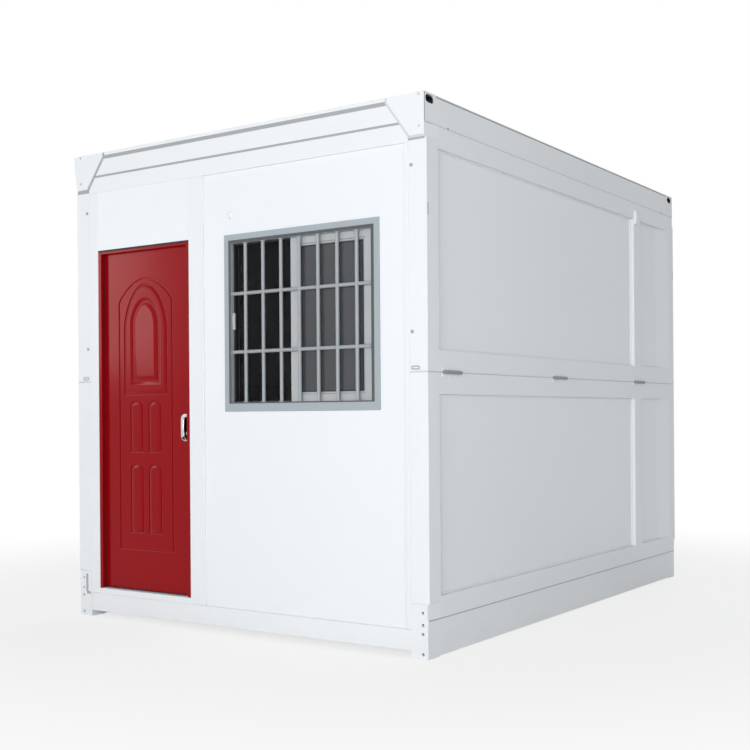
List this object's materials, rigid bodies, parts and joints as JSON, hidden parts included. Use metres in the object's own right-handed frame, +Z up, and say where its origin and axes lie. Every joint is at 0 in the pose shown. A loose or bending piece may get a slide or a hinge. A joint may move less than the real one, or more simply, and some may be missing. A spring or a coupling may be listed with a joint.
{
  "type": "folding container house",
  "caption": "Flat-topped white steel container hut with folding side walls, a pressed steel entrance door and a barred sliding window.",
  "frame": {"origin": "centre of the footprint on the ground", "axes": "+Z up, the front with the door and window faces -Y, +X is to the right of someone facing the door, +Y runs along the length to the back"},
  "size_m": [2.2996, 3.132, 2.52],
  "materials": {
    "white_frame_paint": "satin white powder coat on folded steel sections",
    "wall_panel": "satin white coated sheet faces of insulated panels, lightly rippled",
    "roof_sheet": "white coated sheet with low ribs",
    "ceiling_board": "matt white board",
    "red_door_paint": "semi-gloss red baked paint on pressed steel",
    "lock_steel": "brushed steel",
    "hinge_steel": "painted steel hinge",
    "window_frame_steel": "silver grey paint",
    "sash_aluminium": "anodised aluminium",
    "window_glass": "dark tinted glass",
    "guard_steel": "grey painted round bar",
    "joist_steel": "galvanised steel",
    "floor_boards": "sealed floor boards"
  },
  "bodies": {
    "house": {"base_corner_front_left": "white_frame_paint", "base_corner_front_right": "white_frame_paint", "base_corner_back_left": "white_frame_paint", "base_corner_back_right": "white_frame_paint", "base_beam_front": "white_frame_paint", "base_beam_back": "white_frame_paint", "base_beam_left": "white_frame_paint", "base_beam_right": "white_frame_paint", "floor_joists": "joist_steel", "floor_boards": "floor_boards", "roof_corner_front_left": "white_frame_paint", "roof_corner_front_right": "white_frame_paint", "roof_corner_back_left": "white_frame_paint", "roof_corner_back_right": "white_frame_paint", "roof_beam_front": "white_frame_paint", "roof_beam_back": "white_frame_paint", "roof_beam_left": "white_frame_paint", "roof_beam_right": "white_frame_paint", "roof_panel": "roof_sheet", "ceiling": "ceiling_board", "left_lower_frame": "white_frame_paint", "left_upper_frame": "white_frame_paint", "left_lower_panels": "wall_panel", "left_upper_panels": "wall_panel", "left_wall_hinges": "hinge_steel", "right_lower_frame": "white_frame_paint", "right_upper_frame": "white_frame_paint", "right_lower_panels": "wall_panel", "right_upper_panels": "wall_panel", "right_wall_hinges": "hinge_steel", "stile_caps": "white_frame_paint", "front_top_rail": "white_frame_paint", "front_left_stile": "white_frame_paint", "front_door_post": "white_frame_paint", "front_right_stile": "white_frame_paint", "front_panel_over_door": "wall_panel", "front_window_panel": "wall_panel", "door_sill": "white_frame_paint", "door_frame": "red_door_paint", "door_hinge_pins": "lock_steel", "window_frame": "window_frame_steel", "window_sash_front": "sash_aluminium", "window_sash_back": "sash_aluminium", "window_glass": "window_glass", "window_guard": "guard_steel", "back_frame": "white_frame_paint", "back_panels": "wall_panel"},
    "door": {"door_leaf": "red_door_paint", "door_lock": "lock_steel", "door_hinge_knuckles": "lock_steel"}
  },
  "joints": [
    {"name": "door_hinge", "type": "hinge", "parent": "house", "child": "door", "pos_m": [-0.95825, -1.47, 0.8], "axis": [0, 0, 1], "range_deg": [0, 95]}
  ]
}
